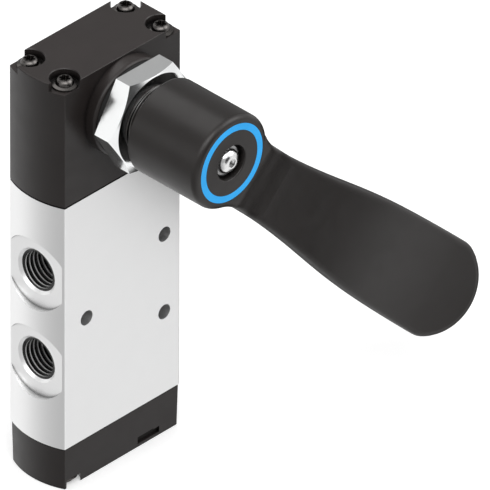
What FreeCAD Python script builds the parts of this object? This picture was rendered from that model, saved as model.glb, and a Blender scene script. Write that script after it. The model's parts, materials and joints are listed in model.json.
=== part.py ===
import FreeCAD, Part
import math
import os

# Hand lever air valve with five ports and two positions, in millimetres.
# X runs across the width, Y through the thickness and Z along the height.
# The mounting face is the plane Y = 0, the lever is on the -Y side, and
# Z = 0 is the middle of the aluminium body. Every piece is drawn in the rest
# position, with the lever turned 45 degrees to the right of straight down.

# Block outline, seen from above: flat, with only the left narrow side bulging
thickness = 22.0
flat_width = 46.6
side_bulge = 2.4
edge_radius = 0.4
top_edge_radius = 0.3

# Heights of the stacked pieces
body_height = 83.5
gasket_thickness = 0.5
gasket_inset = 0.6
housing_height = 41.1
cap_height = 13.8
cap_inset = 0.3
cap_draft = 0.25

# Ports with a G 1/4 thread; the radius is the outside of the thread
port_radius = 6.58
port_depth = 12.5
port_chamfer = 0.8
spot_radius = 11.9
spot_depth = 2.05
channel_radius = 3.5
work_port_height = 15.3

# Through holes for mounting, from the front face to the back face
mount_hole_radius = 2.4
left_hole_x = -14.5
right_hole_x = 17.0
right_hole_pitch = 27.0

# Flanged corner screws, four in the housing and two in the end cap
screw_inset = 4.0
screw_radius = 2.0
screw_grip = 8.5
screw_play = 0.25
thread_play = 0.05
shank_overlap = 0.1
flange_radius = 3.7
flange_rim = 0.5
dome_base = 0.8
dome_radius = 2.7
crown_radius = 1.8
dome_bulge = 0.25
head_height = 2.4
socket_radius = 1.2
socket_lobe_radius = 0.45
socket_lobes = 6
socket_depth = 1.2
seat_radius = 4.45
seat_depth = 2.6
seat_rim = 0.25
seat_opening = 0.8

# Spool, its seals and the cages between them
bore_radius = 7.0
bore_play = 0.05
chamber_pitch = 13.3
seal_count = 6
seal_thickness = 2.4
spool_radius = 4.0
spool_play = 0.1
neck_radius = 2.6
cage_gap = 0.5
cage_groove_depth = 1.2
cage_groove_height = 6.4
cage_window_radius = 1.9
cage_windows = 6
guide_flange_radius = 8.6
guide_flange_height = 2.0

# Detent at the lower end of the spool
ball_radius = 1.25
ball_play = 0.05
detent_head_radius = 5.4
detent_head_height = 4.6
detent_height = 46.0
detent_groove_radius = 0.9
cap_floor = 3.0
sleeve_head_room = 1.0
spring_wire_radius = 0.28
spring_side_play = 0.1
spring_turns = 4
vent_notch_width = 1.6
vent_notch_height = 1.2

# Breather slot low in the front of the end cap, lower at its right end, with its filter
breather_x = 11.2
breather_width = 8.8
breather_rise = 1.0
breather_height = 2.4
breather_depth = 2.6
breather_step_width = 2.5
breather_step_drop = 0.35
filter_thickness = 1.2
filter_play = 0.05

# Cavity of the actuator housing
wall = 4.0
cavity_half_width = 10.5
cavity_corner_radius = 2.0
cavity_headroom = 10.0

# Collar for a panel hole, round the lever's axis
axis_rise = 25.2
boss_radius = 15.3
boss_height = 4.2
boss_rim_radius = 1.2
collar_radius = 10.5
collar_reach = 14.9
collar_chamfer = 0.6
panel_seal_radius = 14.6
panel_seal_thickness = 1.7
nut_across_flats = 30.0
nut_thickness = 6.9
nut_bore_chamfer = 0.4
nut_face_radius = 14.7
nut_corner_angle = 30.0
bush_wall = 1.75
bush_play = 0.05
bush_flange_inset = 0.7
bush_flange_thickness = 1.0

# Spindle with the crank pin that drives the spool
spindle_radius = 6.5
spindle_play = 0.05
shoulder_inset = 1.0
square_side = 9.0
square_length = 16.2
square_play = 0.05
square_end_play = 0.2
square_neck = 0.5
shoulder_play = 0.3
crank_radius = 4.0
crank_pin_radius = 2.0
crank_pin_length = 7.6
spindle_end_gap = 0.5
ring_groove_radius = 5.6
seal_ring_radius = 0.44
seal_ring_play = 0.01
seal_groove_play = 0.15
seal_ring_reach = 12.0
clip_thickness = 0.8
clip_radius = 8.8
clip_gap = 0.25
clip_play = 0.02
clip_mouth = 7.0

# Driver between the crank pin and the spool
slot_play = 0.35
driver_thickness = 5.0
driver_half_width = 8.5
driver_rim = 2.4
driver_corner_radius = 1.5
driver_clip_gap = 0.5
driver_stem_radius = 6.0
driver_stem_height = 8.5
driver_stem_floor = 2.0
driver_socket_play = 0.05
cross_pin_radius = 1.25
cross_pin_recess = 0.3

# Lever: a round hub and a paddle handle that flares forward
hub_gap = 0.5
hub_length = 26.9
hub_radius = 14.8
hub_rim_radius = 2.0
hub_back_rim_radius = 0.5
ring_margin = 2.4
ring_width = 2.1
ring_depth = 0.8
ring_play = 0.1
recess_radius = 5.5
recess_depth = 2.8
recess_rim = 0.4
lever_turn = 45.0

# Handle, seen from the front
neck_half_width = 10.4
neck_blend_radius = 16.0
neck_length = 16.0
paddle_half_width = 15.3
paddle_reach = 127.3
paddle_tip_radius = 16.0
paddle_corner_radius = 7.0
paddle_edge_radius = 1.9

# How the handle widens: share of the way from neck to shoulder, then share of the gain in width
swell = [(0.14, 0.07), (0.33, 0.33), (0.51, 0.66), (0.70, 0.90), (0.88, 0.985)]

# Handle, seen from the side; heights are behind or in front of the hub's front
face_start = 12.6
face_crest = 3.5
face_hollow = 10.0
face_low_at = 34.0
face_drop = 5.5
root_depth = 12.2
tip_face = 10.6
tip_back = 5.4
tip_margin = 3.0

# Screw and washer that hold the lever on the spindle
lever_screw_radius = 2.0
lever_screw_grip = 7.0
lever_head_radius = 3.8
lever_head_rim = 0.5
lever_head_height = 2.2
lever_head_bulge = 0.35
lever_socket_flats = 2.5
lever_socket_turn = 15.0
lever_socket_depth = 1.6
washer_radius = 4.6
washer_thickness = 0.8
washer_play = 0.25

# Two positions closer than this count as the same, and in the lever's cuts two surfaces
tolerance = 0.01
cut_tolerance = 0.0001

# Levels and places that follow from the sizes above
middle_y = -thickness / 2
half_width = flat_width / 2
body_top = body_height / 2
body_bottom = -body_height / 2
housing_bottom = body_top + gasket_thickness
housing_top = housing_bottom + housing_height
cap_top = body_bottom - gasket_thickness
cap_bottom = cap_top - cap_height
axis_z = housing_bottom + axis_rise
exhaust_port_height = 2 * chamber_pitch
screw_x = half_width - screw_inset
screw_y = thickness / 2 - screw_inset
left_seat_x = half_width + side_bulge - spot_depth
stroke = 2 * crank_radius * math.sin(math.radians(lever_turn))
stack_top = (seal_count - 1) * chamber_pitch / 2 + seal_thickness / 2
crank_x = crank_radius * math.cos(math.radians(lever_turn))
crank_z = axis_z + crank_radius * math.sin(math.radians(lever_turn))
ball_z = -detent_height + stroke / 2
sleeve_inner = detent_head_radius + ball_play
cap_floor_z = cap_bottom + cap_floor
clip_y = wall - thickness + clip_gap
hub_back = collar_reach + bush_flange_thickness + hub_gap
hub_front = hub_back + hub_length
spindle_shoulder = hub_back + shoulder_inset
ring_outer = hub_radius - ring_margin
ring_inner = ring_outer - ring_width
tip_station = paddle_reach + tip_margin
driver_plate_low = crank_z - clip_radius - stroke / 2 - driver_clip_gap
driver_low = driver_plate_low - driver_stem_height


def front(distance):
    """Y of a plane this far in front of the housing's front face."""
    return -thickness - distance


def rod(radius, y_from, y_to, x=0.0, z=0.0):
    """Cylinder along Y between two planes."""
    low = min(y_from, y_to)
    return Part.makeCylinder(
        radius, abs(y_to - y_from), FreeCAD.Vector(x, low, z), FreeCAD.Vector(0, 1, 0))


def post(radius, z_from, z_to, x=0.0, y=middle_y):
    """Cylinder along Z between two levels."""
    low = min(z_from, z_to)
    return Part.makeCylinder(radius, abs(z_to - z_from), FreeCAD.Vector(x, y, low))


def tube(outer, inner, z_from, z_to):
    """Tube along the spool's axis."""
    return post(outer, z_from, z_to).cut(post(inner, z_from, z_to))


def box(x_from, x_to, y_from, y_to, z_from, z_to):
    """Box between two corners."""
    corner = FreeCAD.Vector(min(x_from, x_to), min(y_from, y_to), min(z_from, z_to))
    return Part.makeBox(abs(x_to - x_from), abs(y_to - y_from), abs(z_to - z_from), corner)


def join(shapes):
    """One solid from several that touch or overlap."""
    whole = shapes[0]
    for shape in shapes[1:]:
        whole = whole.fuse(shape)
    return whole.removeSplitter()


def revolve_y(points, z=axis_z):
    """Solid of revolution about the lever's axis from (radius, y) points."""
    corners = [FreeCAD.Vector(r, y, z) for r, y in points]
    wire = Part.makePolygon(corners + [corners[0]])
    return Part.Face(wire).revolve(FreeCAD.Vector(0, 0, z), FreeCAD.Vector(0, 1, 0), 360)


def outline(inset, z):
    """Closed outline of the block at one level, drawn in by an inset."""
    x = half_width - inset
    y_front = -thickness + inset
    y_back = -inset
    corners = [FreeCAD.Vector(-x, y_front, z), FreeCAD.Vector(x, y_front, z),
               FreeCAD.Vector(x, y_back, z), FreeCAD.Vector(-x, y_back, z)]
    edges = [Part.makeLine(corners[index], corners[index + 1]) for index in range(3)]
    edges.append(Part.Arc(corners[3], FreeCAD.Vector(-x - side_bulge, middle_y, z), corners[0]).toShape())
    return Part.Wire(edges)


def block(inset, z_from, z_to):
    """The block's outline raised between two levels."""
    face = Part.Face(outline(inset, z_from))
    return face.extrude(FreeCAD.Vector(0, 0, z_to - z_from))


def upright_edges(shape):
    """Edges that run straight along Z."""
    found = []
    for edge in shape.Edges:
        first = edge.Vertexes[0].Point
        last = edge.Vertexes[-1].Point
        if abs(first.x - last.x) < tolerance and abs(first.y - last.y) < tolerance:
            found.append(edge)
    return found


def corner_places():
    """Centres of the four corner screws."""
    return [(sx * screw_x, middle_y + sy * screw_y) for sx in (-1, 1) for sy in (-1, 1)]


def cap_places():
    """Centres of the end cap's two screws, front left and back right."""
    return [(x, y) for x, y in corner_places() if x * (y - middle_y) > 0]


def port_cut(side, seat_x, height):
    """Chamfer, threaded bore and channel of one port on a narrow side."""
    out = FreeCAD.Vector(side, 0, 0)
    channel_end = bore_radius - 1
    mouth = FreeCAD.Vector(side * (seat_x - port_chamfer), middle_y, height)
    end = FreeCAD.Vector(side * (seat_x - port_depth), middle_y, height)
    start = FreeCAD.Vector(side * channel_end, middle_y, height)
    flare = Part.makeCone(port_radius, port_radius + port_chamfer, port_chamfer, mouth, out)
    bore = Part.makeCylinder(port_radius, port_depth, end, out)
    channel = Part.makeCylinder(channel_radius, seat_x - channel_end, start, out)
    return join([bore, flare, channel])


def spot_face(height):
    """Flat round seat for a fitting, cut into the bulging left side."""
    seat = FreeCAD.Vector(-left_seat_x, middle_y, height)
    return Part.makeCylinder(spot_radius, spot_depth + 1, seat, FreeCAD.Vector(-1, 0, 0))


def valve_body():
    """Aluminium body with the spool bore, five ports and the mounting holes."""
    shape = block(0, body_bottom, body_top)
    shape = shape.makeFillet(edge_radius, upright_edges(shape))
    cuts = [post(bore_radius, body_bottom - 1, body_top + 1)]
    cuts.append(post(guide_flange_radius + bore_play, body_top - guide_flange_height, body_top + 1))
    for height in (-work_port_height, work_port_height):
        cuts.append(join([port_cut(-1, left_seat_x, height), spot_face(height)]))
    for height in (-exhaust_port_height, 0, exhaust_port_height):
        cuts.append(port_cut(1, half_width, height))
    cuts.append(rod(mount_hole_radius, -thickness - 1, 1, left_hole_x, 0))
    for side in (-1, 1):
        cuts.append(rod(mount_hole_radius, -thickness - 1, 1, right_hole_x, side * right_hole_pitch / 2))
    deep = screw_grip + screw_play
    for x, y in corner_places():
        cuts.append(post(screw_radius + thread_play, body_top - deep, body_top + 1, x, y))
    for x, y in cap_places():
        cuts.append(post(screw_radius + thread_play, body_bottom - 1, body_bottom + deep, x, y))
    return shape.cut(cuts)


def rounded_box(x_half, y_from, y_to, z_from, z_to, radius):
    """Box with rounded upright corners, centred on X = 0."""
    shape = box(-x_half, x_half, y_from, y_to, z_from, z_to)
    return shape.makeFillet(radius, upright_edges(shape))


def actuator_housing():
    """Black housing with the cavity for the crank, the boss and the collar."""
    shape = block(0, housing_bottom, housing_top)
    shape = shape.makeFillet(edge_radius, upright_edges(shape))
    shape = shape.makeFillet(top_edge_radius, [edge for edge in shape.Edges
                                               if abs(edge.BoundBox.ZMin - housing_top) < tolerance])
    boss = rod(boss_radius, -thickness + 1, front(boss_height), 0, axis_z)
    rim = [edge for edge in boss.Edges if abs(edge.CenterOfMass.y - front(boss_height)) < tolerance]
    boss = boss.makeFillet(boss_rim_radius, rim)
    collar = rod(collar_radius, -thickness + 1, front(collar_reach), 0, axis_z)
    end = [edge for edge in collar.Edges if abs(edge.CenterOfMass.y - front(collar_reach)) < tolerance]
    collar = collar.makeChamfer(collar_chamfer, end)
    shape = join([shape, boss, collar])
    cavity = rounded_box(cavity_half_width, -thickness + wall, -wall, housing_bottom - 1,
                         axis_z + cavity_headroom, cavity_corner_radius)
    cuts = [cavity, rod(bush_outer() + bush_play, -thickness + wall + 1, front(collar_reach + 1), 0, axis_z)]
    for x, y in corner_places():
        cuts.append(post(screw_radius + screw_play, housing_bottom - 1, housing_top + 1, x, y))
        cuts.append(open_seat(x, y))
    return shape.cut(cuts)


def open_seat(x, y):
    """Round screw seat in the housing's top, open to the corner, with a small rim chamfer."""
    seat_z = housing_top - seat_depth
    side_x = math.copysign(1, x)
    side_y = math.copysign(1, y - middle_y)
    rim = Part.makeCone(seat_radius, seat_radius + 2 * seat_rim, 2 * seat_rim,
                        FreeCAD.Vector(x, y, housing_top - seat_rim))
    corner = box(x - side_x * seat_opening, side_x * (half_width + side_bulge + 1),
                 y - side_y * seat_opening, middle_y + side_y * thickness, seat_z, housing_top + 1)
    return join([post(seat_radius, seat_z, housing_top + 1, x, y), rim, corner])


def bush_outer():
    """Outer radius of the spindle's bush."""
    return spindle_radius + spindle_play + bush_wall


def gasket(z_from, z_to, opening, places):
    """Flat gasket between two pieces of the block, with its screw holes."""
    shape = block(gasket_inset, z_from, z_to)
    cuts = [post(opening, z_from - 1, z_to + 1)]
    for x, y in places:
        cuts.append(post(screw_radius + screw_play, z_from - 1, z_to + 1, x, y))
    return shape.cut(cuts)


def top_gasket():
    """Gasket between the body and the housing."""
    return gasket(body_top, housing_bottom, driver_stem_radius, corner_places())


def bottom_gasket():
    """Gasket between the body and the end cap."""
    return gasket(cap_top, body_bottom, bore_radius, cap_places())


def end_cap():
    """Black end cap, slightly drawn in, with its screw seats and breather slot."""
    wires = [outline(cap_inset + cap_draft, cap_bottom), outline(cap_inset, cap_top)]
    shape = Part.makeLoft(wires, True, True)
    cuts = [post(bore_radius, cap_floor_z, cap_top + 1)]
    for x, y in cap_places():
        cuts.append(post(screw_radius + screw_play, cap_bottom - 1, cap_top + 1, x, y))
        cuts.append(post(seat_radius, cap_bottom - 1, cap_bottom + seat_depth, x, y))
    cuts.append(breather_slot())
    vent_x = bore_radius - vent_notch_width / 2
    cuts.append(box(vent_x - vent_notch_width, vent_x, -thickness + breather_depth - 1, middle_y,
                    cap_floor_z, cap_floor_z + vent_notch_height))
    return shape.cut(cuts)


def breather_outline(margin, y):
    """Slot's outline in the cap's front, drawn in by a margin; its right end is lower."""
    low = cap_bottom + breather_rise + margin
    high = cap_bottom + breather_rise + breather_height - margin
    left = breather_x - breather_width / 2 + margin
    right = breather_x + breather_width / 2 - margin
    step_x = right - breather_step_width
    step_z = high - breather_step_drop
    corners = [(left, low), (right, low), (right, step_z), (step_x, step_z), (step_x, high), (left, high)]
    points = [FreeCAD.Vector(x, y, z) for x, z in corners]
    return Part.Face(Part.makePolygon(points + [points[0]]))


def breather_slot():
    """Slot in the cap's front."""
    return breather_outline(0, -thickness - 1).extrude(FreeCAD.Vector(0, breather_depth + 1, 0))


def breather_filter():
    """Porous filter pad at the back of the breather slot."""
    face = breather_outline(filter_play, -thickness + breather_depth - filter_thickness)
    return face.extrude(FreeCAD.Vector(0, filter_thickness, 0))


def domed_head(points, crown, bulge):
    """Turned screw head along +Z: a polyline of (radius, height) from its seat, then a dome to its crown."""
    corners = [FreeCAD.Vector(r, 0, z) for r, z in points]
    top = FreeCAD.Vector(crown[0], 0, crown[1])
    centre = FreeCAD.Vector(0, 0, crown[1])
    chord = top - corners[-1]
    outward = FreeCAD.Vector(chord.z, 0, -chord.x).normalize()
    dome = (corners[-1] + top) * 0.5 + outward * bulge
    edges = [Part.makeLine(first, last) for first, last in zip(corners, corners[1:])]
    edges += [Part.Arc(corners[-1], dome, top).toShape(), Part.makeLine(top, centre),
              Part.makeLine(centre, corners[0])]
    return Part.Face(Part.Wire(edges)).revolve(corners[0], FreeCAD.Vector(0, 0, 1), 360)


def shank(radius, length):
    """Shank along -Z that reaches a little into its head."""
    return Part.makeCylinder(radius, length + shank_overlap, FreeCAD.Vector(0, 0, -length))


def lobed_socket():
    """Six-lobed socket in a corner screw's crown."""
    floor = FreeCAD.Vector(0, 0, head_height - socket_depth)
    socket = Part.makeCylinder(socket_radius, socket_depth + 1, floor)
    for turn in range(socket_lobes):
        angle = 2 * math.pi * turn / socket_lobes
        place = floor + FreeCAD.Vector(math.cos(angle), math.sin(angle), 0) * socket_radius
        socket = socket.fuse(Part.makeCylinder(socket_lobe_radius, socket_depth + 1, place))
    return socket


def corner_screws(places, seat_z, tilt, length):
    """Flanged screws along Z as one group of separate solids; tilt turns their heads over."""
    head = domed_head([(0, 0), (flange_radius, 0), (flange_radius, flange_rim), (dome_radius, dome_base)],
                      (crown_radius, head_height), dome_bulge)
    screw = join([head, shank(screw_radius, length)]).cut(lobed_socket())
    screw.rotate(FreeCAD.Vector(0, 0, 0), FreeCAD.Vector(1, 0, 0), tilt)
    group = []
    for x, y in places:
        placed = screw.copy()
        placed.translate(FreeCAD.Vector(x, y, seat_z))
        group.append(placed)
    return Part.makeCompound(group)


def housing_screws():
    """Four screws from above, through the housing into the body."""
    length = housing_height - seat_depth + gasket_thickness + screw_grip
    return corner_screws(corner_places(), housing_top - seat_depth, 0, length)


def end_cap_screws():
    """Two screws from below, through the cap into the body."""
    length = cap_height - seat_depth + gasket_thickness + screw_grip
    return corner_screws(cap_places(), cap_bottom + seat_depth, 180, length)


def hexagon(across_flats, turn):
    """Hexagonal face round the origin, turned in its plane by an angle in degrees."""
    corner = across_flats / math.sqrt(3)
    angles = [math.radians(60 * step + turn) for step in range(6)]
    points = [FreeCAD.Vector(math.cos(angle), math.sin(angle), 0) * corner for angle in angles]
    return Part.Face(Part.makePolygon(points + [points[0]]))


def panel_nut():
    """Hexagon nut on the collar, with two flats level."""
    y_back = front(boss_height + panel_seal_thickness)
    nut = hexagon(nut_across_flats, 0).extrude(FreeCAD.Vector(0, 0, nut_thickness))
    nut.rotate(FreeCAD.Vector(0, 0, 0), FreeCAD.Vector(1, 0, 0), 90)
    nut.translate(FreeCAD.Vector(0, y_back, axis_z))
    nut = nut.cut(rod(collar_radius + thread_play, y_back + 1, y_back - nut_thickness - 1, 0, axis_z))
    bore_rim = collar_radius + thread_play + tolerance
    rims = [edge for edge in nut.Edges
            if isinstance(edge.Curve, Part.Circle) and edge.Curve.Radius < bore_rim]
    nut = nut.makeChamfer(nut_bore_chamfer, rims)
    return nut.common(corner_cone(y_back - nut_thickness))


def corner_cone(y_front):
    """Cone that takes the corners off a nut's front face, opening towards its back."""
    depth = nut_thickness + 1
    wide = nut_face_radius + depth / math.tan(math.radians(nut_corner_angle))
    return Part.makeCone(nut_face_radius, wide, depth, FreeCAD.Vector(0, y_front, axis_z),
                         FreeCAD.Vector(0, 1, 0))


def panel_seal():
    """Flat rubber ring between the boss and the nut."""
    y_back = front(boss_height)
    y_front = front(boss_height + panel_seal_thickness)
    ring = rod(panel_seal_radius, y_back, y_front, 0, axis_z)
    return ring.cut(rod(collar_radius + thread_play, y_back + 1, y_front - 1, 0, axis_z))


def spindle_bush():
    """Flanged bush that carries the spindle in the collar."""
    inner = spindle_radius + spindle_play
    outer = bush_outer()
    y_back = -thickness + wall
    y_flange = front(collar_reach)
    y_front = front(collar_reach + bush_flange_thickness)
    rim = collar_radius - bush_flange_inset
    return revolve_y([(inner, y_back), (outer, y_back), (outer, y_flange),
                      (rim, y_flange), (rim, y_front), (inner, y_front)])


def square_bar(side, y_from, y_to):
    """Square bar round the Y axis, turned with the lever."""
    bar = box(-side / 2, side / 2, y_from, y_to, -side / 2, side / 2)
    bar.rotate(FreeCAD.Vector(0, 0, 0), FreeCAD.Vector(0, 1, 0), lever_turn)
    return bar


def spindle():
    """Turned spindle with a square end for the lever and an eccentric crank pin."""
    inner_end = middle_y - driver_thickness / 2 - spindle_end_gap
    shoulder = front(spindle_shoulder)
    square_end = front(spindle_shoulder + square_length)
    shaft = rod(spindle_radius, inner_end, shoulder, 0, axis_z)
    square = square_bar(square_side, shoulder + square_neck, square_end)
    square.translate(FreeCAD.Vector(0, 0, axis_z))
    pin = rod(crank_pin_radius, inner_end - square_neck, inner_end + crank_pin_length, crank_x, crank_z)
    shape = join([shaft, square, pin])
    hole = rod(lever_screw_radius + thread_play, square_end - 1, square_end + lever_screw_grip + 1, 0, axis_z)
    seal_y = front(seal_ring_reach)
    half = seal_ring_radius + seal_groove_play
    cuts = [hole, ring_groove(seal_y - half, seal_y + half), ring_groove(clip_y, clip_y + clip_thickness)]
    return shape.cut(cuts)


def ring_groove(y_from, y_to):
    """Groove round the spindle."""
    outer = rod(spindle_radius + 1, y_from, y_to, 0, axis_z)
    return outer.cut(rod(ring_groove_radius, y_from, y_to, 0, axis_z))


def spindle_seal():
    """O-ring in the spindle's groove."""
    place = FreeCAD.Vector(0, front(seal_ring_reach), axis_z)
    return Part.makeTorus(ring_groove_radius + seal_ring_radius + seal_ring_play, seal_ring_radius, place,
                          FreeCAD.Vector(0, 1, 0))


def retaining_ring():
    """Open clip that keeps the spindle in the bush."""
    y_to = clip_y + clip_thickness - clip_play
    y_from = clip_y + clip_play
    ring = rod(clip_radius, y_from, y_to, 0, axis_z)
    ring = ring.cut(rod(ring_groove_radius + thread_play, y_from - 1, y_to + 1, 0, axis_z))
    mouth = box(-clip_mouth / 2, clip_mouth / 2, y_from - 1, y_to + 1, axis_z - clip_radius - 1, axis_z)
    return ring.cut(mouth)


def spool():
    """Spool with two necks, the detent head below and a plain end above."""
    low = ball_z - detent_head_height / 2
    high = driver_plate_low - driver_stem_floor
    rise = stroke / 2
    seal_step = chamber_pitch / 2
    shape = join([post(spool_radius, low, high),
                  post(detent_head_radius, low, low + detent_head_height)])
    cuts = []
    for side in (-1, 1):
        inner = side * seal_step + rise
        outer = side * 3 * seal_step + rise
        cuts.append(tube(spool_radius + 1, neck_radius, inner, outer))
    cross = Part.makeCylinder(ball_radius + ball_play, 2 * detent_head_radius + 2,
                              FreeCAD.Vector(-detent_head_radius - 1, middle_y, ball_z),
                              FreeCAD.Vector(1, 0, 0))
    cuts.append(cross)
    cuts.append(cross_pin_bar(cross_pin_radius + thread_play, driver_stem_radius + 1))
    return shape.cut(cuts)


def cross_pin_bar(radius, half_length):
    """Bar along X at the height of the pin between driver and spool."""
    z = driver_plate_low - driver_stem_height / 2 - driver_stem_floor / 2
    start = FreeCAD.Vector(-half_length, middle_y, z)
    return Part.makeCylinder(radius, 2 * half_length, start, FreeCAD.Vector(1, 0, 0))


def cross_pin():
    """Pin between driver and spool, just inside the stem."""
    return cross_pin_bar(cross_pin_radius, driver_stem_radius - cross_pin_recess)


def spool_driver():
    """Plate with the cross slot for the crank pin, on a round stem for the spool."""
    half = driver_thickness / 2
    slot_half = crank_pin_radius + slot_play
    plate = box(-driver_half_width, driver_half_width, middle_y - half, middle_y + half,
                driver_plate_low, crank_z + slot_half + driver_rim)
    corners = [edge for edge in plate.Edges
               if abs(edge.CenterOfMass.x) > 1 and abs(edge.CenterOfMass.y - middle_y) < tolerance]
    plate = plate.makeFillet(driver_corner_radius, corners)
    stem = post(driver_stem_radius, driver_low, driver_plate_low + tolerance)
    shape = join([plate, stem])
    slot_x = driver_half_width - driver_rim
    slot = box(-slot_x, slot_x, middle_y - half - 1, middle_y + half + 1,
               crank_z - slot_half, crank_z + slot_half)
    socket = post(spool_radius + driver_socket_play, driver_low - 1, driver_plate_low - driver_stem_floor)
    return shape.cut([slot, socket, cross_pin_bar(cross_pin_radius + thread_play, driver_stem_radius + 1)])


def cage(height):
    """One spacer cage with a groove round it and windows through it."""
    half = (chamber_pitch - seal_thickness) / 2
    outer = bore_radius - bore_play
    shape = tube(outer, spool_radius + cage_gap, height - half, height + half)
    groove = tube(outer + 1, outer - cage_groove_depth, height - cage_groove_height / 2,
                  height + cage_groove_height / 2)
    cuts = [groove]
    for turn in range(cage_windows // 2):
        angle = math.radians(360 / cage_windows * turn)
        way = FreeCAD.Vector(math.cos(angle), math.sin(angle), 0)
        start = FreeCAD.Vector(0, middle_y, height) - way * (bore_radius + 1)
        cuts.append(Part.makeCylinder(cage_window_radius, 2 * bore_radius + 2, start, way))
    return shape.cut(cuts)


def spacer_cages():
    """Five cages, one for each chamber."""
    count = seal_count - 1
    heights = [(index - (count - 1) / 2) * chamber_pitch for index in range(count)]
    return Part.makeCompound([cage(height) for height in heights])


def spool_seals():
    """Six seal rings between and beside the cages."""
    rings = []
    for index in range(seal_count):
        height = (index - (seal_count - 1) / 2) * chamber_pitch
        rings.append(tube(bore_radius - bore_play, spool_radius + spool_play,
                          height - seal_thickness / 2, height + seal_thickness / 2))
    return Part.makeCompound(rings)


def upper_guide():
    """Flanged guide that closes the bore at the top."""
    shape = join([tube(bore_radius - bore_play, spool_radius + spool_play, stack_top, body_top),
                  tube(guide_flange_radius, spool_radius + spool_play,
                       body_top - guide_flange_height, body_top)])
    return shape


def detent_sleeve():
    """Sleeve with a groove for each lever position, standing on the cap's floor."""
    outer = bore_radius - bore_play
    shape = post(outer, cap_floor_z, -stack_top)
    head_room = ball_z + detent_head_height / 2 + sleeve_head_room
    cuts = [post(sleeve_inner, cap_floor_z - 1, head_room),
            post(spool_radius + spool_play, cap_floor_z - 1, 0)]
    for height in (ball_z, ball_z - stroke):
        place = FreeCAD.Vector(0, middle_y, height)
        cuts.append(Part.makeTorus(sleeve_inner, detent_groove_radius, place))
    notch = vent_notch_width
    cuts.append(box(-bore_radius, bore_radius, middle_y - notch / 2, middle_y + notch / 2,
                    cap_floor_z - 1, cap_floor_z + vent_notch_height))
    cuts.append(box(bore_radius - 2 * notch, bore_radius, middle_y - bore_radius, middle_y + bore_radius,
                    cap_floor_z - 1, cap_floor_z + vent_notch_height))
    return shape.cut(cuts)


def detent_balls():
    """Two balls in the spool's cross bore, just clear of the sleeve."""
    x = detent_head_radius - ball_radius
    return Part.makeCompound([Part.makeSphere(ball_radius, FreeCAD.Vector(side * x, middle_y, ball_z))
                              for side in (-1, 1)])


def detent_spring():
    """Compression spring between the two balls."""
    coil_radius = ball_radius - spring_wire_radius - spring_side_play
    length = 2 * (detent_head_radius - 2 * ball_radius - spring_wire_radius)
    path = Part.makeHelix(length / spring_turns, length, coil_radius)
    section = Part.Wire(Part.makeCircle(spring_wire_radius, FreeCAD.Vector(coil_radius, 0, 0),
                                        FreeCAD.Vector(0, 1, 0)))
    spring = Part.Wire(path.Edges).makePipeShell([section], True, True)
    spring.rotate(FreeCAD.Vector(0, 0, 0), FreeCAD.Vector(0, 1, 0), 90)
    spring.translate(FreeCAD.Vector(-length / 2, middle_y, ball_z))
    return spring


def hub():
    """Round hub with rounded rims."""
    shape = rod(hub_radius, front(hub_back), front(hub_front))
    for reach, radius in ((hub_front, hub_rim_radius), (hub_back, hub_back_rim_radius)):
        rim = [edge for edge in shape.Edges
               if abs(edge.CenterOfMass.y - front(reach)) < tolerance and isinstance(edge.Curve, Part.Circle)]
        shape = shape.makeFillet(radius, rim)
    return shape


def plan_point(x, z):
    """Point of the handle's front view, pointing along +X."""
    return FreeCAD.Vector(x, front(hub_front + tip_station), z)


def plan_side(sign):
    """Upper or lower half of the handle's front view, from the hub to the tip's arc."""
    blend_z = neck_half_width + neck_blend_radius
    blend_x = math.sqrt((hub_radius + neck_blend_radius) ** 2 - blend_z ** 2)
    share = hub_radius / (hub_radius + neck_blend_radius)
    inner = plan_point(0, sign * blend_z * share)
    start = plan_point(blend_x * share, sign * blend_z * share)
    half_way = (math.atan2(-blend_z, -blend_x) - math.pi / 2) / 2
    middle = plan_point(blend_x + neck_blend_radius * math.cos(half_way),
                        sign * (blend_z + neck_blend_radius * math.sin(half_way)))
    neck = plan_point(blend_x, sign * neck_half_width)
    waist = plan_point(blend_x + neck_length, sign * neck_half_width)

    between = paddle_tip_radius - paddle_corner_radius
    tip_centre = paddle_reach - paddle_tip_radius
    corner_z = paddle_half_width - paddle_corner_radius
    corner_x = tip_centre + math.sqrt(between ** 2 - corner_z ** 2)
    shoulder = plan_point(corner_x, sign * paddle_half_width)
    run = corner_x - blend_x - neck_length
    gain = paddle_half_width - neck_half_width
    through = [plan_point(blend_x + neck_length + run * along, sign * (neck_half_width + gain * wide))
               for along, wide in swell]
    flank = Part.BSplineCurve()
    ahead = FreeCAD.Vector(1, 0, 0)
    flank.interpolate(Points=[waist] + through + [shoulder], InitialTangent=ahead, FinalTangent=ahead)

    touch = paddle_tip_radius / between
    corner_end = plan_point(tip_centre + (corner_x - tip_centre) * touch, sign * corner_z * touch)
    turn = (math.pi / 2 + math.atan2(corner_z, corner_x - tip_centre)) / 2
    corner_middle = plan_point(corner_x + paddle_corner_radius * math.cos(turn),
                               sign * (corner_z + paddle_corner_radius * math.sin(turn)))
    edges = [Part.makeLine(inner, start), Part.Arc(start, middle, neck).toShape(),
             Part.makeLine(neck, waist), flank.toShape(),
             Part.Arc(shoulder, corner_middle, corner_end).toShape()]
    return inner, edges, corner_end


def handle_plan():
    """Front view of the handle, pointing along +X, raised through its whole depth."""
    inner_up, edges_up, end_up = plan_side(1)
    inner_down, edges_down, end_down = plan_side(-1)
    tip = Part.Arc(end_up, plan_point(paddle_reach, 0), end_down).toShape()
    closing = Part.makeLine(inner_down, inner_up)
    wire = Part.Wire(Part.__sortEdges__(edges_up + [tip] + edges_down + [closing]))
    return Part.Face(wire).extrude(FreeCAD.Vector(0, 2 * tip_station, 0))


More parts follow.
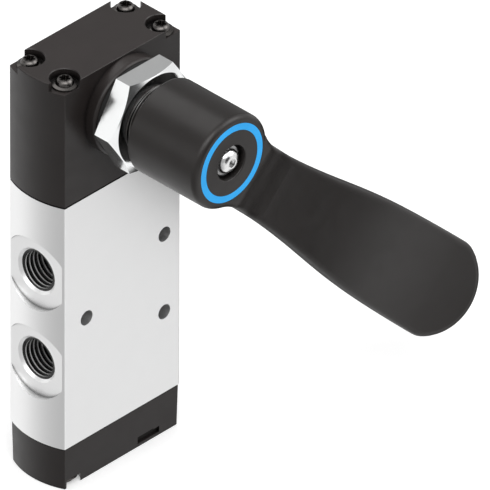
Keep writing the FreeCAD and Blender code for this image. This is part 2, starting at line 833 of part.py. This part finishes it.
def side_point(x, forward):
    """Point of the handle's side view, pointing along +X."""
    return FreeCAD.Vector(x, front(hub_front + forward), -2 * paddle_half_width)


def rising_arc(low_forward, tip_forward):
    """Arc that leaves the handle's lowest station level and rises to its tip."""
    run = tip_station - face_low_at
    rise = tip_forward - low_forward
    radius = (run ** 2 + rise ** 2) / (2 * rise)
    half_turn = math.asin(run / radius) / 2
    middle = side_point(face_low_at + radius * math.sin(half_turn),
                        low_forward + radius * (1 - math.cos(half_turn)))
    low = side_point(face_low_at, low_forward)
    return Part.Arc(low, middle, side_point(tip_station, tip_forward)).toShape()


def handle_side():
    """Side view of the handle, pointing along +X, extruded across its whole width."""
    top = side_point(face_start, 0)
    low = side_point(face_low_at, -face_drop)
    fall = Part.BezierCurve()
    fall.setPoles([top, side_point(face_start + face_crest, 0),
                   side_point(face_low_at - face_hollow, -face_drop), low])
    edges = [Part.makeLine(side_point(0, 0), top), fall.toShape(), rising_arc(-face_drop, tip_face),
             Part.makeLine(side_point(tip_station, tip_face), side_point(tip_station, tip_back)),
             rising_arc(-root_depth, tip_back),
             Part.makeLine(side_point(face_low_at, -root_depth), side_point(0, -root_depth)),
             Part.makeLine(side_point(0, -root_depth), side_point(0, 0))]
    wire = Part.Wire(Part.__sortEdges__(edges))
    return Part.Face(wire).extrude(FreeCAD.Vector(0, 0, 4 * paddle_half_width))


def handle():
    """Handle as the common part of its plan and side views, with all edges of its two faces rounded."""
    shape = handle_plan().common(handle_side())
    rims = []
    for edge in shape.Edges:
        middle = edge.valueAt((edge.FirstParameter + edge.LastParameter) / 2)
        ends = edge.Vertexes[-1].Point - edge.Vertexes[0].Point
        through = abs(ends.y) > math.hypot(ends.x, ends.z)
        if middle.x > tolerance and not through:
            rims.append(edge)
    return shape.makeFillet(paddle_edge_radius, rims)


def lever():
    """Hub and handle in one moulding, made round the Y axis and then moved up to the lever's axis."""
    shape = hub().fuse(handle()).removeSplitter()
    face = front(hub_front)
    ring_floor = front(hub_front - ring_depth - ring_play)
    recess_floor = front(hub_front - recess_depth)
    groove = rod(ring_outer + ring_play, ring_floor, face - 1)
    groove = groove.cut(rod(ring_inner - ring_play, ring_floor + 1, face - 2))
    shoulder = front(spindle_shoulder)
    square_end = front(spindle_shoulder + square_length)
    cuts = [groove,
            rod(recess_radius, recess_floor, face - 1),
            rod(spindle_radius + shoulder_play, front(hub_back - 1), shoulder),
            rod(lever_screw_radius + washer_play, shoulder, recess_floor - 1),
            Part.makeCone(recess_radius + recess_rim, recess_radius, recess_rim,
                          FreeCAD.Vector(0, face, 0), FreeCAD.Vector(0, 1, 0))]
    shape.rotate(FreeCAD.Vector(0, 0, 0), FreeCAD.Vector(0, 1, 0), lever_turn)
    cuts.append(square_bar(square_side + 2 * square_play, shoulder + square_neck,
                           square_end - square_end_play))
    shape = shape.cut(cuts, cut_tolerance)
    shape.translate(FreeCAD.Vector(0, 0, axis_z))
    return shape


def colour_ring():
    """Coloured ring set flush into the hub's front."""
    floor = front(hub_front - ring_depth)
    ring = rod(ring_outer, floor, front(hub_front), 0, axis_z)
    return ring.cut(rod(ring_inner, floor + 1, front(hub_front) - 1, 0, axis_z))


def lever_washer():
    """Plain washer on the floor of the hub's recess."""
    seat = front(hub_front - recess_depth)
    ring = rod(washer_radius, seat, seat - washer_thickness, 0, axis_z)
    return ring.cut(rod(lever_screw_radius + washer_play, seat + 1, seat - washer_thickness - 1, 0, axis_z))


def lever_screw():
    """Button head screw with a hexagon socket that holds the lever on the spindle."""
    under_head = hub_front - recess_depth + washer_thickness
    head = domed_head([(0, 0), (lever_head_radius, 0), (lever_head_radius, lever_head_rim)],
                      (crown_radius, lever_head_height), lever_head_bulge)
    length = under_head - spindle_shoulder - square_length + lever_screw_grip
    socket = hexagon(lever_socket_flats, lever_socket_turn)
    socket = socket.extrude(FreeCAD.Vector(0, 0, lever_socket_depth + 1))
    socket.translate(FreeCAD.Vector(0, 0, lever_head_height - lever_socket_depth))
    screw = join([head, shank(lever_screw_radius, length)]).cut(socket)
    screw.rotate(FreeCAD.Vector(0, 0, 0), FreeCAD.Vector(1, 0, 0), 90)
    screw.translate(FreeCAD.Vector(0, front(under_head), axis_z))
    return screw


pieces = {
    "valve_body": valve_body,
    "actuator_housing": actuator_housing,
    "end_cap": end_cap,
    "housing_screws": housing_screws,
    "end_cap_screws": end_cap_screws,
    "panel_nut": panel_nut,
    "panel_seal": panel_seal,
    "spindle_bush": spindle_bush,
    "spindle_seal": spindle_seal,
    "spindle": spindle,
    "retaining_ring": retaining_ring,
    "lever": lever,
    "colour_ring": colour_ring,
    "lever_washer": lever_washer,
    "lever_screw": lever_screw,
    "spool": spool,
    "spool_driver": spool_driver,
    "cross_pin": cross_pin,
    "detent_balls": detent_balls,
    "detent_spring": detent_spring,
    "detent_sleeve": detent_sleeve,
    "spacer_cages": spacer_cages,
    "spool_seals": spool_seals,
    "upper_guide": upper_guide,
    "breather_filter": breather_filter,
    "top_gasket": top_gasket,
    "bottom_gasket": bottom_gasket,
}

os.makedirs("parts", exist_ok=True)
for name, make in pieces.items():
    shape = make()
    shape.exportStep("parts/" + name + ".step")
    print(name, "solids", len(shape.Solids), "valid", shape.isValid(), "volume", round(shape.Volume, 1))
print("stroke", round(stroke, 4), "axis height", axis_z, "crank", round(crank_z, 3))
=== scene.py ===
import bpy
import json
import math
from mathutils import Matrix, Vector


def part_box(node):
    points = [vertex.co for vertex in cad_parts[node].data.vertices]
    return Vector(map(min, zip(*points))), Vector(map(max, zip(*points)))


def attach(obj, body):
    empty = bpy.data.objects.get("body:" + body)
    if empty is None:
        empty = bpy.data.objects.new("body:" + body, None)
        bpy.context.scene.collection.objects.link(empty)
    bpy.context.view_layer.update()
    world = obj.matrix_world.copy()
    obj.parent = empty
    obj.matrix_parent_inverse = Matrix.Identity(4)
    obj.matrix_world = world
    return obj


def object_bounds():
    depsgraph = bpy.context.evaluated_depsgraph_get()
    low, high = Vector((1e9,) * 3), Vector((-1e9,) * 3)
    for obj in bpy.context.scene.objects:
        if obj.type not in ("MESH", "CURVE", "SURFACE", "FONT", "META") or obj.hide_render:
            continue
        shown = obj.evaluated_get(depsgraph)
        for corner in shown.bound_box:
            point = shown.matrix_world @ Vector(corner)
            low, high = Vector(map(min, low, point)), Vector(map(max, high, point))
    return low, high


# Looks of the hand lever air valve. Lengths are in metres, in the frame of the CAD.

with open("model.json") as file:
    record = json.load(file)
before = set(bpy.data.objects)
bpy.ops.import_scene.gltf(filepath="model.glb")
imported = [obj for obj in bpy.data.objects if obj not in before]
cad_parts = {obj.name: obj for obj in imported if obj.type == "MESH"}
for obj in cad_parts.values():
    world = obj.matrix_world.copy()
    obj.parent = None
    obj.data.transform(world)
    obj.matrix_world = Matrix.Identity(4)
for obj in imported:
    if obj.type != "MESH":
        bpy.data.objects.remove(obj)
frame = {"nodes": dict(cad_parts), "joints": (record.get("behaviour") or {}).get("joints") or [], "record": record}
nodes = frame["nodes"]
cad_low, cad_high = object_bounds()
lever_axis = Vector(frame["joints"][0]["pos_m"])

MM = 0.001
WHITE = (1.0, 1.0, 1.0)
BODY_BLACK = (0.0166, 0.0135, 0.0128)
LEVER_BLACK = (0.019, 0.0165, 0.0155)
RING_BLUE = (0.035, 0.43, 0.95)

# Camera at the photo's angle, far away with a long lens
CAMERA_AZIMUTH = math.radians(-45.745)
CAMERA_ELEVATION = math.radians(34.802)
CAMERA_ROLL = math.radians(0.315)
CAMERA_DISTANCE = 6.143
CAMERA_RIGHT = 0.050640
CAMERA_UP = 0.006021
CAMERA_LENS = 1580.0
SENSOR_WIDTH = 36.0
CLIP_START = 0.1
CLIP_END = 100.0

# Floor
FLOOR_RADIUS = 6.0
FLOOR_SIDES = 64
FLOOR_GAP = 0.1 * MM
FLOOR_COLOUR = (0.86, 0.86, 0.86)
FLOOR_ROUGHNESS = 0.9
FLOOR_GLOW = 0.38

# Light from the sky and the sides, the white that reflections show, and one soft lamp;
# the sky's light fades in from the cosine SKY_START to straight up
SKY_LIGHT = 0.85
SKY_START = -0.3
SIDE_LIGHT = 0.45
STUDIO_WHITE = 1.04
LAMP_PLACE = Vector((-0.5, -0.9, 1.3))
LAMP_AIM = Vector((0.02, -0.03, 0.02))
LAMP_SIZE = 0.9
LAMP_POWER = 9.0

# Darker and brighter screens round the studio, which only reflections show:
# direction, brightness, then the cosines at which each one starts and is full
SCREENS = [
    (Vector((-0.66, -0.66, 0.34)), 0.45, 0.82, 0.95),
    (Vector((0.75, -0.62, 0.20)), 0.86, 0.82, 0.95),
    (Vector((0.82, 0.55, 0.20)), 0.3, 0.88, 0.96),
    (Vector((0.59, 0.57, 0.57)), 0.40, 0.80, 0.95),
    (Vector((0.09, 0.57, 0.82)), 1.9, 0.90, 0.96),
    (Vector((-0.55, 0.57, 0.61)), 0.4, 0.94, 0.98),
    (Vector((-0.80, 0.55, -0.20)), 0.4, 0.94, 0.98),
    (Vector((-0.65, -0.20, 0.73)), 3.0, 0.93, 0.98),
    (Vector((-0.80, -0.20, -0.56)), 0.42, 0.55, 1.0),
    (Vector((0.00, -1.00, 0.05)), 0.05, 0.88, 0.96),
    (Vector((0.73, 0.05, -0.70)), 0.0, 0.80, 0.93),
    (Vector((0.42, -0.80, -0.43)), 1.1, 0.92, 0.98),
    (Vector((0.59, -0.57, 0.57)), 4.0, 0.90, 0.98),
    (Vector((0.59, 0.57, -0.57)), 0.05, 0.85, 0.97),
]

# Noise values at which a shade or a gloss is lowest and highest
NOISE_LOW = 0.3
NOISE_HIGH = 0.7
NOISE_DETAIL = 2.0

# Painted shade in recesses: how open a recess is where its painted shade is darkest, and where it is no longer
# darker
COVERED = 0.3
OPEN = 0.8
COVER_SAMPLES = 8

# Painted light on tops: how far a surface looks up where it starts to be paler, and where it is fully so
TOP_START = 0.6
TOP_FULL = 0.95

# Threads: sizes of the ridges; foot and top are half widths, which are, like the start
# before the mouth, shares of the pitch
PORT_PITCH = 1.6 * MM
PORT_THREAD_DEPTH = 0.86 * MM
COLLAR_PITCH = 1.5 * MM
COLLAR_THREAD_DEPTH = 0.5 * MM
COLLAR_RADIUS = 10.5 * MM
BUSH_FLANGE = 1.0 * MM
RIDGE_FOOT = 0.46
RIDGE_TOP = 0.12
RIDGE_START = -0.5
THREAD_SINK = 0.02 * MM
THREAD_STEPS = 48
FADE_STEPS = 8

# Bends of the handle that the light shows: distances from the hub's axis at which each
# one starts and ends, and how far the front rises
HANDLE_WAY = Vector((1.0, 0.0, -1.0)).normalized()
HANDLE_BENDS = [
    (12 * MM, 28 * MM, 2.4 * MM),
    (20 * MM, 112 * MM, -16 * MM),
]

# Front of the hub: its radii and roundings as in the CAD, then the turned layers on it
HUB_RADIUS = 14.8 * MM
HUB_ROUNDING = 2.0 * MM
RING_OUTER = 12.4 * MM
RING_INNER = 10.3 * MM
RECESS_RADIUS = 5.5 * MM
RECESS_ROUNDING = 0.4 * MM
HUB_PROUD = 0.02 * MM
RING_GAP = 0.05 * MM
RIM_THICKNESS = 0.4 * MM
LIP_THICKNESS = 0.3 * MM
LAYER_SINK = 0.5 * MM
RIM_REACH = 12.0 * MM
RIM_STEPS = 10
LIP_STEPS = 5
HUB_STEPS = 144

SHARP_ANGLE = math.radians(25)


# Materials

def new_material(name, colour, roughness, metallic=0.0, specular=0.5):
    """Material with a principled shader; gives it with its node tree and its shader."""
    material = bpy.data.materials.new(name)
    material.use_nodes = True
    tree = material.node_tree
    shader = tree.nodes["Principled BSDF"]
    shader.inputs["Base Color"].default_value = (*colour, 1.0)
    shader.inputs["Roughness"].default_value = roughness
    shader.inputs["Metallic"].default_value = metallic
    shader.inputs["Specular IOR Level"].default_value = specular
    return material, tree, shader


def noise(tree, size, stretch=(1.0, 1.0, 1.0)):
    """Noise whose grains are about this many metres across, on the piece's own coordinates."""
    place = tree.nodes.new("ShaderNodeTexCoord")
    mapping = tree.nodes.new("ShaderNodeMapping")
    mapping.inputs["Scale"].default_value = stretch
    texture = tree.nodes.new("ShaderNodeTexNoise")
    texture.inputs["Scale"].default_value = 1.0 / size
    texture.inputs["Detail"].default_value = NOISE_DETAIL
    tree.links.new(place.outputs["Object"], mapping.inputs["Vector"])
    tree.links.new(mapping.outputs["Vector"], texture.inputs["Vector"])
    return texture.outputs["Fac"]


def spread(tree, value, start, full, low, high, smooth=False):
    """A value that goes from low to high while another goes from start to full."""
    change = tree.nodes.new("ShaderNodeMapRange")
    if smooth:
        change.interpolation_type = "SMOOTHSTEP"
    change.inputs["From Min"].default_value = start
    change.inputs["From Max"].default_value = full
    change.inputs["To Min"].default_value = low
    change.inputs["To Max"].default_value = high
    tree.links.new(value, change.inputs["Value"])
    return change.outputs["Result"]


def vary_gloss(tree, shader, factor, low, high):
    """Roughness between low and high that follows the noise."""
    roughness = spread(tree, factor, NOISE_LOW, NOISE_HIGH, low, high)
    tree.links.new(roughness, shader.inputs["Roughness"])


def vary_colour(tree, shader, factor, colour, share):
    """Base colour that the noise makes darker or lighter by up to this share."""
    ramp = tree.nodes.new("ShaderNodeValToRGB")
    dark, light = ramp.color_ramp.elements
    dark.position = NOISE_LOW
    dark.color = (*(c * (1 - share) for c in colour), 1.0)
    light.position = NOISE_HIGH
    light.color = (*(c * (1 + share) for c in colour), 1.0)
    tree.links.new(factor, ramp.inputs["Fac"])
    tree.links.new(ramp.outputs["Color"], shader.inputs["Base Color"])


def scale_colour(tree, shader, factor):
    """Base colour times a factor that varies over the surface."""
    product = tree.nodes.new("ShaderNodeVectorMath")
    product.operation = "SCALE"
    tree.links.new(shader.inputs["Base Color"].links[0].from_socket, product.inputs[0])
    tree.links.new(factor, product.inputs["Scale"])
    tree.links.new(product.outputs["Vector"], shader.inputs["Base Color"])


def bump(tree, shader, factor, height):
    """Relief of this height in metres on the surface, on top of any relief that it has."""
    relief = tree.nodes.new("ShaderNodeBump")
    relief.inputs["Distance"].default_value = height
    tree.links.new(factor, relief.inputs["Height"])
    for below in shader.inputs["Normal"].links:
        tree.links.new(below.from_socket, relief.inputs["Normal"])
    tree.links.new(relief.outputs["Normal"], shader.inputs["Normal"])


def paint_recess_shade(tree, shader, reach, darkest):
    """Painted shade: base colour darker in holes, sockets and corners that are narrower than this reach."""
    cover = tree.nodes.new("ShaderNodeAmbientOcclusion")
    cover.samples = COVER_SAMPLES
    cover.inputs["Distance"].default_value = reach
    scale_colour(tree, shader, spread(tree, cover.outputs["AO"], COVERED, OPEN, darkest, 1.0))


def paint_top_light(tree, shader, gain):
    """Painted light: base colour paler where the surface looks up, as if more light fell on tops."""
    split = tree.nodes.new("ShaderNodeSeparateXYZ")
    tree.links.new(tree.nodes.new("ShaderNodeTexCoord").outputs["Normal"], split.inputs["Vector"])
    scale_colour(tree, shader, spread(tree, split.outputs["Z"], TOP_START, TOP_FULL, 1.0, gain))


def bend_handle(material):
    """Shallow bends along the handle, which the light on it shows."""
    tree = material.node_tree
    along = tree.nodes.new("ShaderNodeVectorMath")
    along.operation = "DOT_PRODUCT"
    along.inputs[1].default_value = HANDLE_WAY
    tree.links.new(tree.nodes.new("ShaderNodeTexCoord").outputs["Object"], along.inputs[0])
    hub = HANDLE_WAY.dot(lever_axis)
    for start, end, rise in HANDLE_BENDS:
        bend = spread(tree, along.outputs["Value"], hub + start, hub + end, 0.0, rise, smooth=True)
        bump(tree, tree.nodes["Principled BSDF"], bend, 1.0)


def moulded_plastic(name, colour, roughness, specular=0.5, top_light_gain=1.0):
    """Plastic with a fine moulded grain and slightly uneven gloss, painted light that makes its tops paler by the
    given gain, and painted shade in its recesses.
    """
    material, tree, shader = new_material(name, colour, roughness, specular=specular)
    vary_colour(tree, shader, noise(tree, 9 * MM), colour, share=0.06)
    vary_gloss(tree, shader, noise(tree, 5 * MM), roughness - 0.03, roughness + 0.03)
    bump(tree, shader, noise(tree, 0.3 * MM), height=0.012 * MM)
    paint_top_light(tree, shader, top_light_gain)
    paint_recess_shade(tree, shader, reach=2 * MM, darkest=0.05)
    return material


def satin_aluminium():
    """Blasted and anodised aluminium, with painted shade in its recesses."""
    colour = (0.94, 0.94, 0.94)
    material, tree, shader = new_material("satin_aluminium", colour, roughness=0.42, metallic=1.0)
    vary_colour(tree, shader, noise(tree, 6 * MM), colour, share=0.004)
    vary_gloss(tree, shader, noise(tree, 0.8 * MM), 0.41, 0.43)
    bump(tree, shader, noise(tree, 0.15 * MM), height=0.0015 * MM)
    paint_recess_shade(tree, shader, reach=4 * MM, darkest=0.055)
    return material


def bright_plating():
    """Nickel plating on a machined nut, nearly a mirror."""
    colour = (0.93, 0.94, 0.94)
    material, tree, shader = new_material("bright_plating", colour, roughness=0.16, metallic=1.0)
    vary_colour(tree, shader, noise(tree, 4 * MM), colour, share=0.01)
    vary_gloss(tree, shader, noise(tree, 2 * MM), 0.14, 0.18)
    return material


def machined_steel(name, colour, roughness, lay=(1.0, 1.0, 1.0), reach=1 * MM, metallic=1.0):
    """Steel with fine tool marks and painted shade in its recesses; lay stretches the marks."""
    material, tree, shader = new_material(name, colour, roughness, metallic)
    vary_colour(tree, shader, noise(tree, 1 * MM, lay), colour, share=0.06)
    vary_gloss(tree, shader, noise(tree, 0.5 * MM, lay), roughness - 0.05, roughness + 0.06)
    bump(tree, shader, noise(tree, 0.12 * MM, lay), height=0.003 * MM)
    paint_recess_shade(tree, shader, reach, darkest=0.15)
    return material


def rubber():
    """Matt black rubber."""
    colour = (0.012, 0.012, 0.012)
    material, tree, shader = new_material("rubber", colour, roughness=0.7, specular=0.3)
    vary_colour(tree, shader, noise(tree, 2 * MM), colour, share=0.15)
    bump(tree, shader, noise(tree, 0.2 * MM), height=0.01 * MM)
    return material


def sintered_bronze():
    """Porous filter pad, near black: painted shade in its recess."""
    colour = (0.008, 0.007, 0.006)
    material, tree, shader = new_material("sintered_bronze", colour, roughness=0.6, metallic=0.2,
                                          specular=0.2)
    grains = noise(tree, 0.35 * MM)
    vary_colour(tree, shader, grains, colour, share=0.5)
    bump(tree, shader, grains, height=0.08 * MM)
    return material


aluminium = satin_aluminium()
# The casting's tops are painted paler: painted light from above.
casting = moulded_plastic("black_casting", BODY_BLACK, 0.36, specular=0.33, top_light_gain=1.7)
lever_plastic = moulded_plastic("lever_plastic", LEVER_BLACK, 0.34, specular=0.33)
bend_handle(lever_plastic)
# Paler plastic on the collar thread's crests: a painted highlight.
collar_crest_highlight = moulded_plastic("collar_crest_highlight", (0.09, 0.085, 0.08), 0.3)
inner_plastic = moulded_plastic("inner_plastic", (0.05, 0.05, 0.05), 0.5)
blue_plastic = moulded_plastic("blue_plastic", RING_BLUE, 0.45, specular=0.15)
plating = bright_plating()
dark_steel = machined_steel("dark_steel", (0.10, 0.094, 0.09), 0.28)
bright_steel = machined_steel("bright_steel", (0.80, 0.80, 0.80), 0.22)
turned_steel = machined_steel("turned_steel", (0.55, 0.55, 0.56), 0.3, lay=(1.0, 8.0, 1.0))
turned_aluminium = machined_steel("turned_aluminium", (0.7, 0.7, 0.71), 0.32, lay=(1.0, 1.0, 8.0))
# Port threads: the near black flanks are painted shade inside the bores, and the pale crests are a painted
# highlight.
thread_flank_shade = machined_steel("thread_flank_shade", (0.05, 0.05, 0.05), 0.3)
thread_crest_highlight = machined_steel("thread_crest_highlight", (0.85, 0.85, 0.85), 0.4, reach=0.2 * MM, metallic=0.3)
washer_steel = machined_steel("washer_steel", (0.45, 0.45, 0.45), 0.3, reach=2 * MM)
seal_rubber = rubber()
shaded_filter_bronze = sintered_bronze()

node_materials = {
    "valve_body": aluminium,
    "actuator_housing": casting,
    "end_cap": casting,
    "housing_screws": dark_steel,
    "end_cap_screws": dark_steel,
    "panel_nut": plating,
    "panel_seal": seal_rubber,
    "spindle_bush": inner_plastic,
    "spindle_seal": seal_rubber,
    "spindle": turned_steel,
    "retaining_ring": turned_steel,
    "lever": lever_plastic,
    "colour_ring": blue_plastic,
    "lever_washer": washer_steel,
    "lever_screw": bright_steel,
    "spool": turned_aluminium,
    "spool_driver": inner_plastic,
    "cross_pin": turned_steel,
    "detent_balls": turned_steel,
    "detent_spring": turned_steel,
    "detent_sleeve": inner_plastic,
    "spacer_cages": inner_plastic,
    "spool_seals": seal_rubber,
    "upper_guide": inner_plastic,
    "breather_filter": shaded_filter_bronze,
    "top_gasket": seal_rubber,
    "bottom_gasket": seal_rubber,
}

for name, node in nodes.items():
    for place in node.material_slots:
        place.material = node_materials[name]


# Pieces made of rings of points

def band_faces(rings, width, closed=False):
    """Faces between rings of this many points; closed joins the last ring to the first."""
    faces = []
    for ring in range(rings if closed else rings - 1):
        here = ring * width
        after = (ring + 1) % rings * width
        for column in range(width):
            beside = (column + 1) % width
            faces.append((here + column, here + beside, after + beside, after + column))
    return faces


def add_piece(name, verts, faces, materials, flip, body):
    """Smooth piece with sharp edges that moves with a body; flip turns its faces over."""
    mesh = bpy.data.meshes.new(name)
    mesh.from_pydata(verts, [], faces)
    for material in materials:
        mesh.materials.append(material)
    for face in mesh.polygons:
        face.use_smooth = True
    mesh.set_sharp_from_angle(angle=SHARP_ANGLE)
    if flip:
        mesh.flip_normals()
    piece = bpy.data.objects.new(name, mesh)
    bpy.context.scene.collection.objects.link(piece)
    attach(piece, body)
    return piece


# Threads, which the CAD leaves plain

def thread_ridge(name, mouth, inward, root, crest, pitch, length, materials):
    """Helical ridge along a bore or a collar, cut off level at its mouth."""
    side = inward.orthogonal().normalized()
    across = inward.cross(side)
    profile = [(-RIDGE_FOOT, root), (-RIDGE_TOP, crest), (RIDGE_TOP, crest), (RIDGE_FOOT, root)]
    width = len(profile)
    count = int(length / pitch * THREAD_STEPS)
    verts = []
    for step in range(count + 1):
        angle = 2 * math.pi * step / THREAD_STEPS
        ray = side * math.cos(angle) + across * math.sin(angle)
        fade = min(1.0, step / FADE_STEPS, (count - step) / FADE_STEPS)
        along = pitch * (step / THREAD_STEPS + RIDGE_START)
        for shift, radius in profile:
            reach = root + (radius - root) * fade
            verts.append(mouth + inward * max(0.0, along + shift * pitch) + ray * reach)
    faces = band_faces(count + 1, width)
    faces.append(tuple(range(width)))
    faces.append(tuple(reversed(range(count * width, (count + 1) * width))))
    piece = add_piece(name, verts, faces, materials, crest > root, "valve")
    # Crest faces take the second material, a paler one that paints a highlight along each crest.
    for step in range(count):
        piece.data.polygons[step * width + 1].material_index = 1


for mount in frame["record"]["mounts"]:
    if mount["kind"] != "threaded_hole":
        continue
    out = Vector(mount["axis"])
    wall = mount["dims"]["r_mm"] * MM
    deep = mount["dims"]["length_mm"] * MM
    mouth = Vector(mount["pos_m"]) + out * deep / 2
    thread_ridge(mount["name"] + "_thread", mouth, -out, wall + THREAD_SINK, wall - PORT_THREAD_DEPTH,
                 PORT_PITCH, deep, [thread_flank_shade, thread_crest_highlight])

nut_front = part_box("panel_nut")[0].y
collar_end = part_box("spindle_bush")[0].y + BUSH_FLANGE
thread_ridge("collar_thread", Vector((lever_axis.x, nut_front, lever_axis.z)), Vector((0, -1, 0)),
             COLLAR_RADIUS - THREAD_SINK, COLLAR_RADIUS + COLLAR_THREAD_DEPTH, COLLAR_PITCH,
             nut_front - collar_end, [casting, collar_crest_highlight])


# Front of the hub, finely rounded, just proud of the lever's own faces

def hub_layer(name, profile):
    """Turned layer round the hub's axis; the profile holds radii and heights above the hub's front."""
    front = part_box("colour_ring")[0].y
    verts = []
    for step in range(HUB_STEPS):
        angle = 2 * math.pi * step / HUB_STEPS
        for radius, height in profile:
            verts.append((lever_axis.x + radius * math.cos(angle), front - height,
                          lever_axis.z + radius * math.sin(angle)))
    faces = band_faces(HUB_STEPS, len(profile), closed=True)
    add_piece(name, verts, faces, [lever_plastic], True, "lever")


def arc(radius, centre, turn_from, turn_to, steps):
    """Points of an arc as radius and height, turns in degrees."""
    turns = [math.radians(turn_from + (turn_to - turn_from) * step / steps) for step in range(steps + 1)]
    return [(centre[0] + radius * math.cos(turn), centre[1] + radius * math.sin(turn)) for turn in turns]


rim_inner = RING_OUTER + RING_GAP
rim_back = HUB_RADIUS - RIM_THICKNESS
rim_centre = (HUB_RADIUS - HUB_ROUNDING, -HUB_ROUNDING)
hub_layer("hub_rim", [
    (rim_inner, -LAYER_SINK),
    (rim_back, -HUB_ROUNDING),
    (rim_back, -RIM_REACH),
    (HUB_RADIUS + HUB_PROUD, -RIM_REACH),
    *arc(HUB_ROUNDING + HUB_PROUD, rim_centre, 0.0, 90.0, RIM_STEPS),
    (rim_inner, HUB_PROUD),
])

face_outer = RING_INNER - RING_GAP
lip_centre = (RECESS_RADIUS + RECESS_ROUNDING, -RECESS_ROUNDING)
hub_layer("hub_face", [
    (RECESS_RADIUS + LIP_THICKNESS, -LAYER_SINK),
    (face_outer, -LAYER_SINK),
    (face_outer, HUB_PROUD),
    *arc(RECESS_ROUNDING + HUB_PROUD, lip_centre, 90.0, 180.0, LIP_STEPS),
])


# Camera, floor and light

def place_camera():
    """Camera at the photo's angle, fitted to the edges of the body."""
    back = Vector((math.sin(CAMERA_AZIMUTH) * math.cos(CAMERA_ELEVATION),
                   -math.cos(CAMERA_AZIMUTH) * math.cos(CAMERA_ELEVATION), math.sin(CAMERA_ELEVATION)))
    level = Vector((math.cos(CAMERA_AZIMUTH), math.sin(CAMERA_AZIMUTH), 0.0))
    steep = back.cross(level)
    right = level * math.cos(CAMERA_ROLL) + steep * math.sin(CAMERA_ROLL)
    up = steep * math.cos(CAMERA_ROLL) - level * math.sin(CAMERA_ROLL)
    centre = back * CAMERA_DISTANCE + right * CAMERA_RIGHT + up * CAMERA_UP
    data = bpy.data.cameras.new("camera")
    data.lens = CAMERA_LENS
    data.sensor_width = SENSOR_WIDTH
    data.clip_start = CLIP_START
    data.clip_end = CLIP_END
    camera = bpy.data.objects.new("camera", data)
    turn = Matrix((right, up, back)).transposed().to_4x4()
    camera.matrix_world = Matrix.Translation(centre) @ turn
    bpy.context.scene.collection.objects.link(camera)
    bpy.context.scene.camera = camera


def make_floor():
    """Round pale floor under the end cap; it shows white and keeps a soft shadow."""
    turns = [2 * math.pi * side / FLOOR_SIDES for side in range(FLOOR_SIDES)]
    verts = [(FLOOR_RADIUS * math.cos(turn), FLOOR_RADIUS * math.sin(turn), cad_low.z - FLOOR_GAP)
             for turn in turns]
    mesh = bpy.data.meshes.new("floor")
    mesh.from_pydata(verts, [], [tuple(range(FLOOR_SIDES))])
    material, tree, shader = new_material("floor", FLOOR_COLOUR, FLOOR_ROUGHNESS, specular=0.0)
    path = tree.nodes.new("ShaderNodeLightPath")
    glow = tree.nodes.new("ShaderNodeMath")
    glow.operation = "MULTIPLY"
    glow.inputs[1].default_value = FLOOR_GLOW
    tree.links.new(path.outputs["Is Camera Ray"], glow.inputs[0])
    tree.links.new(glow.outputs["Value"], shader.inputs["Emission Strength"])
    shader.inputs["Emission Color"].default_value = (*WHITE, 1.0)
    mesh.materials.append(material)
    floor = bpy.data.objects.new("floor", mesh)
    floor.visible_glossy = False
    bpy.context.scene.collection.objects.link(floor)


def blend(tree, share, low, high):
    """A value that goes from low to high as the share goes from 0 to 1; low may be a socket."""
    mix = tree.nodes.new("ShaderNodeMix")
    tree.links.new(share, mix.inputs["Factor"])
    mix.inputs["B"].default_value = high
    if isinstance(low, float):
        mix.inputs["A"].default_value = low
    else:
        tree.links.new(low, mix.inputs["A"])
    return mix.outputs["Result"]


def towards(tree, way, direction, start, full):
    """Share that grows from 0 to 1 as a ray's way turns towards a direction."""
    dot = tree.nodes.new("ShaderNodeVectorMath")
    dot.operation = "DOT_PRODUCT"
    dot.inputs[1].default_value = direction.normalized()
    tree.links.new(way, dot.inputs[0])
    return spread(tree, dot.outputs["Value"], start, full, 0.0, 1.0, smooth=True)


def make_world():
    """Soft studio light, brighter from above, with the screens that metal and gloss reflect."""
    world = bpy.data.worlds.new("studio")
    world.use_nodes = True
    tree = world.node_tree
    way = tree.nodes.new("ShaderNodeTexCoord").outputs["Generated"]
    path = tree.nodes.new("ShaderNodeLightPath")
    light = blend(tree, towards(tree, way, Vector((0, 0, 1)), SKY_START, 1.0), SIDE_LIGHT, SKY_LIGHT)
    shine = STUDIO_WHITE
    for direction, brightness, start, full in SCREENS:
        shine = blend(tree, towards(tree, way, direction, start, full), shine, brightness)
    reflected = tree.nodes.new("ShaderNodeMix")
    tree.links.new(path.outputs["Is Glossy Ray"], reflected.inputs["Factor"])
    tree.links.new(light, reflected.inputs["A"])
    tree.links.new(shine, reflected.inputs["B"])
    strength = blend(tree, path.outputs["Is Camera Ray"], reflected.outputs["Result"], 1.0)
    tree.links.new(strength, tree.nodes["Background"].inputs["Strength"])
    tree.nodes["Background"].inputs["Color"].default_value = (*WHITE, 1.0)
    bpy.context.scene.world = world


def add_lamp():
    """Square soft lamp that points at the object."""
    data = bpy.data.lights.new("key", "AREA")
    data.size = LAMP_SIZE
    data.energy = LAMP_POWER
    lamp = bpy.data.objects.new("key", data)
    lamp.location = LAMP_PLACE
    lamp.rotation_euler = (LAMP_PLACE - LAMP_AIM).to_track_quat("Z", "Y").to_euler()
    bpy.context.scene.collection.objects.link(lamp)


place_camera()
make_floor()
make_world()
add_lamp()

bpy.context.scene.view_settings.view_transform = "Standard"
